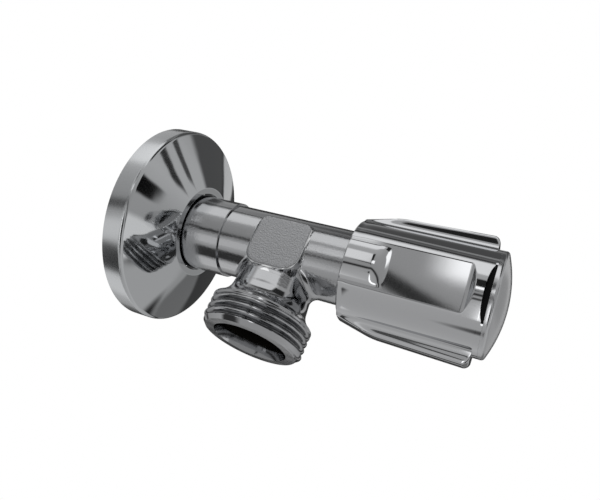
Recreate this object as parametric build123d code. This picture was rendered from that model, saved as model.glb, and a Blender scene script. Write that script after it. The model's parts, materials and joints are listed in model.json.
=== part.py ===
"""Angle valve with a wall rosette, a non-rising headwork and a turned handle."""
import math
import os

from build123d import *

# Frame: the valve's axis is X and the finished wall is the plane x = 0.
# The handle points out of the wall to +X and the outlet points down to -Z.
# All sizes are in millimetres.

# Clearances
fit_gap = 0.05                # of screwed and pushed fits that do not move
running_gap = 0.05            # of turning fits
slide_gap = 0.08              # of the plunger in its guide
seal_gap = 0.03               # between a seal ring and the walls of its groove and bore
stop_gap = 0.4                # left at both ends of the plunger's travel
seat_gap = 0.05               # between the closed washer and its seat

# Spindle and its travel
spindle_radius = 4.0
spindle_collar_step = 1.0
spindle_collar_length = 2.0
spindle_screw_radius = 3.0
spindle_square = 5.6
screw_pitch = 1.25
turns_to_open = 2.5
thrust_washer_length = 0.8
spindle_ring_wire = 0.7
spindle_ring_inset = 2.5
spindle_ring_pitch = 4.0
clip_width = 0.8
clip_depth = 0.6
clip_rim = 1.5
clip_opening = 4.4

# Headwork housing
collar_room = 0.4             # radial room round the spindle's collar
housing_wall = 1.6
housing_setback = 0.3         # between the outlet's bore and the housing
piston_inset = 0.3            # between the housing's front and the plunger's piston
thread_engagement = 14.0
gasket_length = 1.0
flange_step = 0.2             # the flange is this much smaller than the barrel
flange_length = 1.5
end_wall = 1.3
neck_wall = 2.0
neck_length = 11.0

# Plunger and seat washer
washer_length = 3.0
washer_room = 1.0             # radial room round the washer in the chamber
plunger_disc_length = 2.0
plunger_stem_step = 1.5       # wall of the plunger round the spindle's screw
piston_length = 4.6
plunger_ring_wire = 0.8
plunger_hex_length = 6.5
plunger_bore_depth = 13.5
washer_screw_radius = 2.0
washer_screw_length = 5.0
screw_head_step = 1.4         # the screw heads are this much larger than their shanks
screw_head_length = 1.8
screw_slot_width = 0.8
screw_slot_depth = 0.9

# Valve body
tail_length = 13.0
tail_thread_radius = 10.478
tail_thread_length = 18.0
tail_chamfer = 1.0
inlet_bore_radius = 6.0
barrel_wall = 1.815
collar_step = 0.55            # the collar is this much larger than the barrel
collar_reach = 22.5
step_chamfer = 0.3
seat_offset = 8.5             # from the collar's step to the seat
seat_wall = 2.5
seat_narrowing = 0.8          # the seat's hole is this much smaller than the inlet bore
seat_lip_width = 1.0
seat_lip_length = 0.8
outlet_seat_room = 1.5        # between the seat and the outlet's bore
outlet_bore_radius = 6.6
outlet_root_wall = 2.0
outlet_waist_wall = 3.5
outlet_length = 26.2
outlet_waist_drop = 12.6
outlet_flare_drop = 2.6
outlet_flare_step = 0.7
outlet_thread_radius = 13.22
outlet_thread_length = 7.2
outlet_thread_chamfer = 0.5
outlet_lead_length = 1.7
outlet_lead_depth = 1.3
outlet_recess_step = 3.0      # the recess in the mouth is this much larger than the bore
outlet_recess_depth = 6.7
crotch_fillet = 2.2
pad_rise = 0.35               # of the flat pads above the barrel
pad_half_width = 7.2
pad_top = 4.4
pad_foot = 9.6
pad_top_corner = 2.2
pad_foot_corner = 4.2
pad_edge = 0.3

# Wall rosette
rosette_radius = 27.0
rosette_wall = 0.9
rosette_band = 5.6
rosette_edge = 1.3
rosette_height = 11.6
rosette_lip = 1.6             # width of the flat ring round the hole
rosette_lip_edge = 0.6
rosette_gap = 0.55

# Handle
handle_room = 0.6             # radial room between the barrel and the handle
handle_wall = 2.6
handle_lap = 2.9              # the handle's mouth covers this much of the barrel
handle_turn = 15.0            # degrees that the handle stands turned
web_gap = 0.6
web_length = 6.0
web_floor = 1.5               # of the web under the screw's head
end_recess_depth = 7.175
end_recess_radius = 9.0
grip_rise = 2.9               # of the grip pads above the handle's round
grip_start = 0.3
grip_taper = 0.5
grip_half_width = 4.2
grip_valley = 2.4
grip_ramp = 9.0
grip_end = 1.2                # the grip pads stop this far before the cap
grip_round = 1.5
grip_edge = 1.0               # rounding along the grip pads' sides
panel_depth = 1.4
panel_end = 3.4               # the flat panel's sloping end stops this far before the cap
block_length = 8.8
block_side = 1.0              # the block stands this far inside the panel's edges
block_drop = 0.25             # the block is this much lower than the handle's round
block_edge = 0.5
slot_length = 1.4
slot_depth = 1.85
handle_screw_radius = 1.5
handle_screw_length = 9.0
handle_screw_room = 0.6

# Handle cap
cap_band = 1.3
cap_dome = 2.6
cap_edge = 0.9
cap_plug_wall = 1.5
cap_plug_length = 2.6

# Radii that follow, from the spindle outwards
spindle_collar_radius = spindle_radius + spindle_collar_step
guide_flat = spindle_collar_radius + collar_room
guide_radius = guide_flat / math.cos(math.radians(30))
housing_radius = guide_radius + housing_wall
chamber_radius = housing_radius + fit_gap
barrel_radius = chamber_radius + barrel_wall
collar_radius = barrel_radius + collar_step
flange_radius = barrel_radius - flange_step
neck_bore_radius = spindle_radius + running_gap
neck_radius = neck_bore_radius + neck_wall
washer_radius = chamber_radius - washer_room
spindle_ring_radius = neck_bore_radius - seal_gap - spindle_ring_wire
plunger_ring_radius = guide_radius - seal_gap - plunger_ring_wire
handle_cavity_radius = barrel_radius + handle_room
handle_radius = handle_cavity_radius + handle_wall
pad_face = barrel_radius + pad_rise
rosette_hole_radius = max(collar_radius, tail_thread_radius) + rosette_gap

# Places along the axis, from the wall outwards
lift = screw_pitch * turns_to_open
seat_x = collar_reach + seat_offset
washer_x = seat_x + seat_gap
plunger_x = washer_x + washer_length
outlet_x = seat_x + outlet_seat_room + outlet_bore_radius
housing_x = outlet_x + outlet_bore_radius + housing_setback
barrel_end_x = housing_x + thread_engagement
flange_x = barrel_end_x + gasket_length
piston_x = housing_x + piston_inset
piston_end_x = piston_x + piston_length
guide_x = piston_end_x + lift + stop_gap
plunger_end_x = piston_end_x + plunger_hex_length
spindle_tip_x = plunger_end_x - plunger_bore_depth + lift + stop_gap
spindle_collar_x = plunger_end_x + lift + stop_gap
thrust_washer_x = spindle_collar_x + spindle_collar_length
thrust_washer_end_x = thrust_washer_x + thrust_washer_length
guide_end_x = thrust_washer_end_x + running_gap
neck_x = max(guide_end_x + end_wall, flange_x + flange_length)
neck_end_x = neck_x + neck_length
clip_x = neck_end_x + running_gap
clip_end_x = clip_x + clip_width
web_x = clip_end_x + web_gap
web_end_x = web_x + web_length
spindle_end_x = web_end_x - web_floor - fit_gap
handle_x = barrel_end_x - handle_lap
cap_x = web_end_x + end_recess_depth

cut_over = 1.0                # cuts run this far past the faces they open


def turned(points):
    """Solid turned about the valve's axis from (place along it, radius) points."""
    return revolve(make_face(Polyline(*points, close=True)), Axis.X)


def rod(start, end, radius):
    """Round rod along the valve's axis."""
    return turned([(start, 0), (end, 0), (end, radius), (start, radius)])


def tube(start, end, inner, outer):
    """Round tube along the valve's axis."""
    return turned([(start, inner), (end, inner), (end, outer), (start, outer)])


def seal_ring(middle_x, middle_radius, wire):
    """Rubber ring of round wire about the valve's axis."""
    return Pos(middle_x, 0, 0) * Rot(0, 90, 0) * Torus(middle_radius, wire)


def ring_groove(middle_x, middle_radius, wire, outer):
    """Cutter for the groove that holds a seal ring on a shaft."""
    half = wire + fit_gap
    return tube(middle_x - half, middle_x + half, middle_radius - wire - seal_gap, outer + cut_over)


def hex_rod(start, end, half_flat):
    """Hexagonal rod along the valve's axis."""
    section = RegularPolygon(half_flat, 6, major_radius=False)
    return Pos(start, 0, 0) * extrude(Plane.YZ * section, end - start)


def bar(start, end, width, height, middle=(0, 0)):
    """Square bar along the valve's axis, width along Y and height along Z."""
    place = Pos((start + end) / 2, middle[0], middle[1])
    return place * Box(end - start, width, height)


def outlet_turned(points):
    """Solid turned about the outlet's axis from (drop below the valve's axis, radius) points."""
    return Pos(outlet_x, 0, 0) * Rot(0, 90, 0) * turned(points)


def nearest_corner(face, along, radius):
    """The outline's corner nearest to a place."""
    return face.vertices().sort_by_distance((along, radius, 0))[0]


def slotted_screw(face_x, direction, radius, length):
    """Screw with a slotted head that rests on face_x; its shank runs the other way from direction."""
    head_end = face_x + direction * screw_head_length
    shank_end = face_x - direction * length
    screw = rod(min(face_x, head_end), max(face_x, head_end), radius + screw_head_step)
    screw += rod(min(face_x, shank_end), max(face_x, shank_end), radius)
    slot_floor = head_end - direction * screw_slot_depth
    slot_start = min(slot_floor, head_end + direction * cut_over)
    slot_end = max(slot_floor, head_end + direction * cut_over)
    head_width = 2 * (radius + screw_head_step + cut_over)
    return screw - bar(slot_start, slot_end, screw_slot_width, head_width)


def pad_block():
    """Block that carries the flat forged pads on both sides of the body, above the outlet."""
    outline = Rectangle(2 * pad_half_width, pad_top + pad_foot)
    outline = fillet(outline.vertices().group_by(Axis.Y)[-1], pad_top_corner)
    outline = fillet(outline.vertices().group_by(Axis.Y)[0], pad_foot_corner)
    block = extrude(Plane.XZ * outline, pad_face, both=True)
    sides = block.faces().group_by(Axis.Y)
    block = fillet(sides[0].edges() + sides[-1].edges(), pad_edge)
    return Pos(outlet_x, 0, (pad_top - pad_foot) / 2) * block


def body_outside():
    """Outside of the forged body: wall tail, collar, barrel, outlet branch and pads."""
    tail_x = -tail_length
    thread_end_x = tail_x + tail_thread_length
    barrel = turned([
        (tail_x, 0),
        (tail_x, tail_thread_radius - tail_chamfer),
        (tail_x + tail_chamfer, tail_thread_radius),
        (thread_end_x, tail_thread_radius),
        (thread_end_x + abs(tail_thread_radius - collar_radius), collar_radius),
        (collar_reach - step_chamfer, collar_radius),
        (collar_reach, collar_radius - step_chamfer),
        (collar_reach, barrel_radius),
        (barrel_end_x, barrel_radius),
        (barrel_end_x, 0),
    ])
    thread_end = outlet_length - outlet_lead_length
    thread_start = thread_end - outlet_thread_length
    waist = outlet_bore_radius + outlet_waist_wall
    branch = outlet_turned([
        (0, 0),
        (0, outlet_bore_radius + outlet_root_wall),
        (outlet_waist_drop, waist),
        (outlet_waist_drop + outlet_flare_drop, waist + outlet_flare_step),
        (thread_start - outlet_thread_chamfer, outlet_thread_radius - outlet_thread_chamfer),
        (thread_start, outlet_thread_radius),
        (thread_end, outlet_thread_radius),
        (outlet_length, outlet_thread_radius - outlet_lead_depth),
        (outlet_length, 0),
    ])
    joined = barrel + branch
    round_edges = (GeomType.LINE, GeomType.CIRCLE)
    crotch = [edge for edge in joined.edges() if edge.geom_type not in round_edges]
    return fillet(crotch, crotch_fillet) + pad_block()


def make_valve_body():
    """Forged brass body with its inlet bore, seat, chamber and outlet bore."""
    seat_bore_radius = inlet_bore_radius - seat_narrowing
    seat_lip_radius = seat_bore_radius + seat_lip_width
    body = body_outside()
    body -= turned([
        (-tail_length - cut_over, 0),
        (-tail_length - cut_over, inlet_bore_radius),
        (seat_x - seat_wall, inlet_bore_radius),
        (seat_x - seat_wall, seat_bore_radius),
        (seat_x, seat_bore_radius),
        (seat_x, seat_lip_radius),
        (seat_x - seat_lip_length, seat_lip_radius),
        (seat_x - seat_lip_length, chamber_radius),
        (barrel_end_x + cut_over, chamber_radius),
        (barrel_end_x + cut_over, 0),
    ])
    recess_drop = outlet_length - outlet_recess_depth
    recess_radius = outlet_bore_radius + outlet_recess_step
    body -= outlet_turned([
        (0, 0),
        (0, outlet_bore_radius),
        (recess_drop, outlet_bore_radius),
        (recess_drop, recess_radius),
        (outlet_length + cut_over, recess_radius),
        (outlet_length + cut_over, 0),
    ])
    return body


def make_wall_rosette():
    """Pressed round cover plate: straight rim, conical face and a turned-in ring round the hole."""
    lip_radius = rosette_hole_radius + rosette_lip
    inner_rim = rosette_radius - rosette_wall
    outline = make_face(Polyline(
        (0, rosette_radius),
        (rosette_band, rosette_radius),
        (rosette_height, lip_radius),
        (rosette_height, rosette_hole_radius),
        (rosette_height - rosette_wall, rosette_hole_radius),
        (rosette_height - rosette_wall, lip_radius - rosette_wall),
        (rosette_band - rosette_wall, inner_rim),
        (0, inner_rim),
        close=True,
    ))
    outline = fillet(nearest_corner(outline, rosette_band, rosette_radius), rosette_edge)
    outline = fillet(nearest_corner(outline, rosette_height, lip_radius), rosette_lip_edge)
    return revolve(outline, Axis.X)


def make_headwork_housing():
    """Brass housing screwed into the barrel: guide bores for the plunger, flange and spindle neck."""
    housing = rod(housing_x, flange_x, housing_radius)
    housing += rod(flange_x, flange_x + flange_length, flange_radius)
    housing += hex_rod(flange_x, neck_x, (flange_radius - flange_step) * math.cos(math.radians(30)))
    housing += rod(flange_x, neck_end_x, neck_radius)
    housing -= rod(housing_x - cut_over, guide_x, guide_radius)
    housing -= hex_rod(housing_x, guide_end_x, guide_flat)
    housing -= rod(housing_x, neck_end_x + cut_over, neck_bore_radius)
    return housing


def make_housing_gasket():
    """Flat fibre ring between the barrel's end and the housing's flange."""
    return tube(barrel_end_x, flange_x, chamber_radius, flange_radius)


def spindle_ring_places():
    """Places along the axis of the spindle's two seal rings."""
    first = neck_x + spindle_ring_inset
    return [first, first + spindle_ring_pitch]


def make_spindle():
    """Brass spindle: screw for the plunger, thrust collar, ring grooves, clip groove and square end."""
    spindle = rod(spindle_tip_x, spindle_collar_x, spindle_screw_radius)
    spindle += rod(spindle_collar_x, thrust_washer_x, spindle_collar_radius)
    spindle += rod(thrust_washer_x, web_x, spindle_radius)
    spindle += bar(web_x, spindle_end_x, spindle_square, spindle_square)
    for place in spindle_ring_places():
        spindle -= ring_groove(place, spindle_ring_radius, spindle_ring_wire, spindle_radius)
    groove_end = clip_end_x + fit_gap
    spindle -= tube(clip_x, groove_end, spindle_radius - clip_depth, spindle_radius + cut_over)
    hole_start = web_end_x - handle_screw_length - handle_screw_room
    spindle -= rod(hole_start, spindle_end_x + cut_over, handle_screw_radius + fit_gap)
    return spindle


def make_spindle_seal_ring(number):
    """One of the two seal rings in the spindle's grooves."""
    return seal_ring(spindle_ring_places()[number], spindle_ring_radius, spindle_ring_wire)


def make_thrust_washer():
    """Slip washer between the spindle's collar and the housing."""
    inner = spindle_radius + fit_gap
    return tube(thrust_washer_x, thrust_washer_end_x, inner, spindle_collar_radius)


def make_spindle_clip():
    """Open spring clip that holds the spindle in the housing's neck."""
    inner = spindle_radius - clip_depth + fit_gap
    clip = tube(clip_x, clip_end_x, inner, spindle_radius + clip_rim)
    reach = spindle_radius + clip_rim + cut_over
    return clip - bar(clip_x - cut_over, clip_end_x + cut_over, clip_opening, reach, (0, reach / 2))


def piston_ring_place():
    """Place along the axis of the plunger's seal ring."""
    return (piston_x + piston_end_x) / 2


def make_plunger():
    """Brass plunger: washer disc, stem, sealed piston and hexagon that keeps it from turning."""
    bore_radius = spindle_screw_radius + running_gap
    piston_radius = guide_radius - slide_gap
    plunger = rod(plunger_x, plunger_x + plunger_disc_length, washer_radius)
    plunger += rod(plunger_x, piston_end_x, bore_radius + plunger_stem_step)
    plunger += rod(piston_x, piston_end_x, piston_radius)
    plunger += hex_rod(piston_end_x, plunger_end_x, guide_flat - slide_gap)
    plunger -= ring_groove(piston_ring_place(), plunger_ring_radius, plunger_ring_wire, piston_radius)
    plunger -= rod(plunger_end_x - plunger_bore_depth, plunger_end_x + cut_over, bore_radius)
    tapped_end = plunger_x + washer_screw_length + fit_gap
    plunger -= rod(plunger_x - cut_over, tapped_end, washer_screw_radius + fit_gap)
    return plunger


def make_plunger_seal_ring():
    """Seal ring in the plunger's piston."""
    return seal_ring(piston_ring_place(), plunger_ring_radius, plunger_ring_wire)


def make_seat_washer():
    """Rubber washer that closes the seat."""
    return tube(washer_x, plunger_x, washer_screw_radius + fit_gap, washer_radius)


def make_washer_screw():
    """Screw that holds the seat washer on the plunger."""
    return slotted_screw(washer_x, -1, washer_screw_radius, washer_length + washer_screw_length)


def handle_outside():
    """Outside of the handle: round cup with two grip pads, two flat panels and two pry slots."""
    grip_radius = handle_radius + grip_rise
    grip_end_x = cap_x - grip_end
    section = Circle(handle_radius) + Rectangle(2 * grip_half_width, 2 * (grip_radius + cut_over))
    valleys = [corner for corner in section.vertices() if abs(corner.Y) < handle_radius]
    section = fillet(valleys, grip_valley)
    blank = Pos(handle_x, 0, 0) * extrude(Plane.YZ * section, grip_end_x - handle_x)
    envelope = turned([
        (handle_x, 0),
        (handle_x, handle_radius + grip_start),
        (handle_x + grip_ramp, grip_radius - grip_taper),
        (grip_end_x - grip_round, grip_radius),
        (grip_end_x, grip_radius - grip_round),
        (grip_end_x, 0),
    ])
    outside = blank & envelope
    pad_edges = [edge for edge in outside.edges() if is_pad_side(edge)]
    outside = fillet(pad_edges, grip_edge)
    outside += rod(grip_end_x, cap_x, handle_radius)
    panel_end_x = cap_x - panel_end
    for side in (-1, 1):
        panel = side_bar(side, handle_x - cut_over, panel_end_x, handle_radius - panel_depth)
        end_edges = panel.edges().filter_by(Axis.Z).group_by(Axis.X)[-1]
        foot = end_edges.sort_by(lambda edge: abs(edge.center().Y))[0]
        outside -= chamfer(foot, panel_depth)
        outside -= side_bar(side, cap_x - slot_length, cap_x + cut_over, handle_radius - slot_depth)
        outside += panel_block(side)
    return outside


def is_pad_side(edge):
    """Whether an edge runs along the side of a grip pad, past its ramp."""
    middle = edge.center()
    return abs(abs(middle.Y) - grip_half_width) < fit_gap and middle.X > handle_x + grip_ramp


def side_bar(side, start, end, floor):
    """Cutter on one side of the handle that leaves a flat floor at that distance from the axis."""
    depth = handle_radius - floor + cut_over
    middle = side * (floor + depth / 2)
    return bar(start, end, depth, 2 * handle_radius, (middle, 0))


def panel_block(side):
    """Raised block with rounded edges between the handle's mouth and its flat panel."""
    floor = handle_radius - panel_depth
    panel_half_width = math.sqrt(handle_radius ** 2 - floor ** 2)
    top = handle_radius - block_drop
    root = handle_cavity_radius + (floor - handle_cavity_radius) / 2
    width = 2 * (panel_half_width - block_side)
    height = handle_radius - root
    block = bar(handle_x, handle_x + block_length, height, width, (side * (root + height / 2), 0))
    block = block & rod(handle_x - cut_over, handle_x + block_length + cut_over, top)
    crown = block.faces().sort_by(Axis.Y)[-1 if side > 0 else 0]
    return fillet(crown.edges(), block_edge)


def make_handle():
    """Turned handle: cup over the headwork with a web that carries the spindle's square."""
    handle = handle_outside()
    handle -= rod(handle_x - cut_over, web_x, handle_cavity_radius)
    handle -= rod(web_end_x, cap_x + cut_over, end_recess_radius)
    socket = spindle_square + 2 * fit_gap
    handle -= bar(web_x - cut_over, web_end_x - web_floor, socket, socket)
    handle -= rod(web_x, web_end_x + cut_over, handle_screw_radius + fit_gap)
    return handle


def make_handle_screw():
    """Screw that holds the handle on the spindle."""
    return slotted_screw(web_end_x, 1, handle_screw_radius, handle_screw_length)


def make_handle_cap():
    """Domed cap pushed into the handle's end."""
    rim_x = cap_x + cap_band
    crown_x = rim_x + cap_dome
    sphere_radius = (handle_radius ** 2 + cap_dome ** 2) / (2 * cap_dome)
    half_angle = math.asin(handle_radius / sphere_radius) / 2
    middle_x = crown_x - sphere_radius * (1 - math.cos(half_angle))
    middle = (middle_x, sphere_radius * math.sin(half_angle))
    outline = Polyline((crown_x, 0), (cap_x, 0), (cap_x, handle_radius), (rim_x, handle_radius))
    outline += ThreePointArc((rim_x, handle_radius), middle, (crown_x, 0))
    outline = make_face(outline)
    outline = fillet(nearest_corner(outline, rim_x, handle_radius), cap_edge)
    plug_radius = end_recess_radius - fit_gap
    plug = tube(cap_x - cap_plug_length, cap_x, plug_radius - cap_plug_wall, plug_radius)
    return revolve(outline, Axis.X) + plug


def with_the_handle(piece):
    """A piece of the handle, turned to where the handle stands."""
    return Rot(handle_turn, 0, 0) * piece


def all_pieces():
    """Every piece of the valve under its own name."""
    return {
        "valve_body": make_valve_body(),
        "wall_rosette": make_wall_rosette(),
        "headwork_housing": make_headwork_housing(),
        "housing_gasket": make_housing_gasket(),
        "spindle": with_the_handle(make_spindle()),
        "spindle_seal_ring_inner": make_spindle_seal_ring(0),
        "spindle_seal_ring_outer": make_spindle_seal_ring(1),
        "spindle_thrust_washer": make_thrust_washer(),
        "spindle_clip": with_the_handle(make_spindle_clip()),
        "plunger": make_plunger(),
        "plunger_seal_ring": make_plunger_seal_ring(),
        "seat_washer": make_seat_washer(),
        "washer_screw": make_washer_screw(),
        "handle": with_the_handle(make_handle()),
        "handle_screw": with_the_handle(make_handle_screw()),
        "handle_cap": with_the_handle(make_handle_cap()),
    }


os.makedirs("parts", exist_ok=True)
for name, piece in all_pieces().items():
    export_step(piece, f"parts/{name}.step")
    print(f"{name}: {piece.volume:.1f} mm3")
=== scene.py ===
import json
import math

import bmesh
import bpy
import numpy as np
from mathutils import Matrix, Vector

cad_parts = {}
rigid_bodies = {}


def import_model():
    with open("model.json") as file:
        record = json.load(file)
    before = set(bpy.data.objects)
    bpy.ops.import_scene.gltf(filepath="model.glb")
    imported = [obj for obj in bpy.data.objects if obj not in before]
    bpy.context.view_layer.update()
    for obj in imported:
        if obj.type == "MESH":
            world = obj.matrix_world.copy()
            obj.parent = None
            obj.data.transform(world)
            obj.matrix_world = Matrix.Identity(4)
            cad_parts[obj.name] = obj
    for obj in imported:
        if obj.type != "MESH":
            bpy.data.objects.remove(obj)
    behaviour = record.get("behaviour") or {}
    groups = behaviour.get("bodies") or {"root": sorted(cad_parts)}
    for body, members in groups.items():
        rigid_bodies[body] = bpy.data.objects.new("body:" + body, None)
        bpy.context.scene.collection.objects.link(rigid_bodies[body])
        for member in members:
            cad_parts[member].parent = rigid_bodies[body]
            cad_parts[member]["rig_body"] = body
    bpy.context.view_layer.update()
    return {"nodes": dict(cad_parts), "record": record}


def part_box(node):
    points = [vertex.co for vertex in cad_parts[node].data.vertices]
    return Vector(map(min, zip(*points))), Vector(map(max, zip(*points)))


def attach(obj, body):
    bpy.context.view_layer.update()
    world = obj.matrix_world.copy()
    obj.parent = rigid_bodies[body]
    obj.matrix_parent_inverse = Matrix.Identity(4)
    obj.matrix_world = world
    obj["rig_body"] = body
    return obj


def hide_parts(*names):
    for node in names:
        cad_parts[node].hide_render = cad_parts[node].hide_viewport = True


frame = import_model()
scene = bpy.context.scene
scene.view_settings.view_transform = "Standard"
mm = 0.001
print("frame loaded:", len(frame["nodes"]), "nodes")


# modelling helpers, all in millimetres

def cornersOf(node):
    # a CAD node's lowest and highest corner, in millimetres
    return [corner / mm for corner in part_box(node)]


def roundCorners(points, segments=6):
    # (along, radius, rounding) points of a profile, with an arc at each rounded corner
    profile = []
    for before, here, after in zip([None] + points, points, points[1:] + [None]):
        corner = Vector(here[:2])
        rounding = here[2] if len(here) > 2 else 0
        if not rounding:
            profile.append(corner)
            continue
        back = (Vector(before[:2]) - corner).normalized()
        ahead = (Vector(after[:2]) - corner).normalized()
        half = back.angle(ahead) / 2
        centre = corner + (back + ahead).normalized() * rounding / math.sin(half)
        first = corner + back * rounding / math.tan(half) - centre
        last = corner + ahead * rounding / math.tan(half) - centre
        profile += [centre + first.slerp(last, step / segments).normalized() * rounding
                    for step in range(segments + 1)]
    return profile


def turned(profile, steps, place=Matrix(), closed=False):
    # a lathe blank: (along, radius) points spun round X, then put in place
    bm = bmesh.new()
    verts = [bm.verts.new((along, 0, radius)) for along, radius in profile]
    pairs = list(zip(verts, verts[1:]))
    if closed:
        pairs.append((verts[-1], verts[0]))
    edges = [bm.edges.new(pair) for pair in pairs]
    bmesh.ops.spin(bm, geom=verts + edges, axis=(1, 0, 0), cent=(0, 0, 0),
                   angle=2 * math.pi, steps=steps, use_merge=True)
    bmesh.ops.remove_doubles(bm, verts=bm.verts, dist=0.0005)
    bmesh.ops.recalc_face_normals(bm, faces=bm.faces)
    bmesh.ops.transform(bm, matrix=place, verts=bm.verts)
    return bm


def reshape(bm, rule):
    # moves all vertices by one rule on the array of their places
    places = np.array([vert.co for vert in bm.verts])
    for vert, place in zip(bm.verts, rule(places)):
        vert.co = place


def smoothMin(a, b, width):
    # the lower of two heights, with a soft change-over of that width
    blend = np.maximum(width - np.abs(a - b), 0)
    return np.minimum(a, b) - blend * blend / (4 * width)


def smoothMax(a, b, width):
    return -smoothMin(-a, -b, width)


def smoothStep(value, start, end):
    share = np.clip((value - start) / (end - start), 0, 1)
    return share * share * (3 - 2 * share)


def asMesh(bm, name):
    mesh = bpy.data.meshes.new(name)
    bm.to_mesh(mesh)
    bm.free()
    return mesh


def asObject(mesh):
    obj = bpy.data.objects.new(mesh.name, mesh)
    scene.collection.objects.link(obj)
    return obj


def applied(obj):
    # the object's mesh with its modifiers applied; the object itself goes
    graph = bpy.context.evaluated_depsgraph_get()
    bm = bmesh.new()
    bm.from_mesh(bpy.data.meshes.new_from_object(obj.evaluated_get(graph)))
    bpy.data.objects.remove(obj)
    return bm


def addPiece(name, bm, material, node, sharp=32):
    # puts a finished shape into the scene in place of its CAD node
    bmesh.ops.scale(bm, vec=(mm, mm, mm), verts=bm.verts)
    mesh = asMesh(bm, name)
    mesh.shade_smooth()
    mesh.set_sharp_from_angle(angle=math.radians(sharp))
    mesh.materials.append(material)
    piece = asObject(mesh)
    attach(piece, frame["nodes"][node]["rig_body"])
    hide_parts(node)
    mesh.calc_loop_triangles()
    print(name, "made:", len(mesh.loop_triangles), "triangles")


# materials

def hexColour(text):
    # sRGB hex to the linear values that the sockets take
    parts = [int(text[i:i + 2], 16) / 255 for i in (1, 3, 5)]
    linear = [c / 12.92 if c <= 0.04045 else ((c + 0.055) / 1.055) ** 2.4 for c in parts]
    return (*linear, 1)


def addNode(tree, kind, settings=None, **links):
    # a node with its settings, and links or plain values for its sockets by name or number
    node = tree.nodes.new(kind)
    for key, value in (settings or {}).items():
        setattr(node, key, value)
    for key, value in links.items():
        socket = node.inputs[int(key[1:])] if key[1:].isdigit() else node.inputs[key.replace("_", " ")]
        if isinstance(value, bpy.types.NodeSocket):
            tree.links.new(value, socket)
        else:
            socket.default_value = value
    return node


def newMaterial(name, grain):
    # an empty material with its Object coordinates scaled so that 1 is the grain's size in millimetres
    material = bpy.data.materials.new(name)
    material.use_nodes = True
    tree = material.node_tree
    tree.nodes.clear()
    place = addNode(tree, "ShaderNodeTexCoord").outputs["Object"]
    scale = [1 / (size * mm) for size in grain]
    return material, tree, addNode(tree, "ShaderNodeMapping", Vector=place, Scale=scale).outputs[0], place


def dressed(tree, height, distance, **sockets):
    # the shader with its bump in millimetres, and the output
    bump = addNode(tree, "ShaderNodeBump", Strength=1.0, Distance=distance * mm, Height=height)
    shader = addNode(tree, "ShaderNodeBsdfPrincipled", Normal=bump.outputs[0], **sockets)
    addNode(tree, "ShaderNodeOutputMaterial", Surface=shader.outputs[0])


forgingLook = {
    "colour": "#b9babc",
    "padColour": "#a6a7a9",
    # painted highlight: a near-white colour on the pad edges
    "edgeHighlight": "#f4f5f6",
    # painted shade: a near-black colour inside the bore
    "boreShade": "#2a2722",
    # painted shade: a darker colour for the roots of the outlet thread
    "grooveShade": "#757678",
    "streak": (26.0, 0.55, 0.55),
    "swell": 7.0,
    "swellShare": 6.0,
    "rings": 0.34,
    "grit": 0.42,
    "barrelGrit": 2.5,
    "padGrit": 24.0,
    "relief": 0.006,
    "roughness": (0.08, 0.18),
    "branchRoughness": 0.07,
    "padRoughness": 0.32,
    "edgeRoughness": 0.14,
    "boreRoughness": 0.5,
    "branchTop": -10.8,
    "edgeBlend": (0.35, 0.31),
    "padBlend": (0.11, 0.07),
    "margin": 0.1,
}


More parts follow.
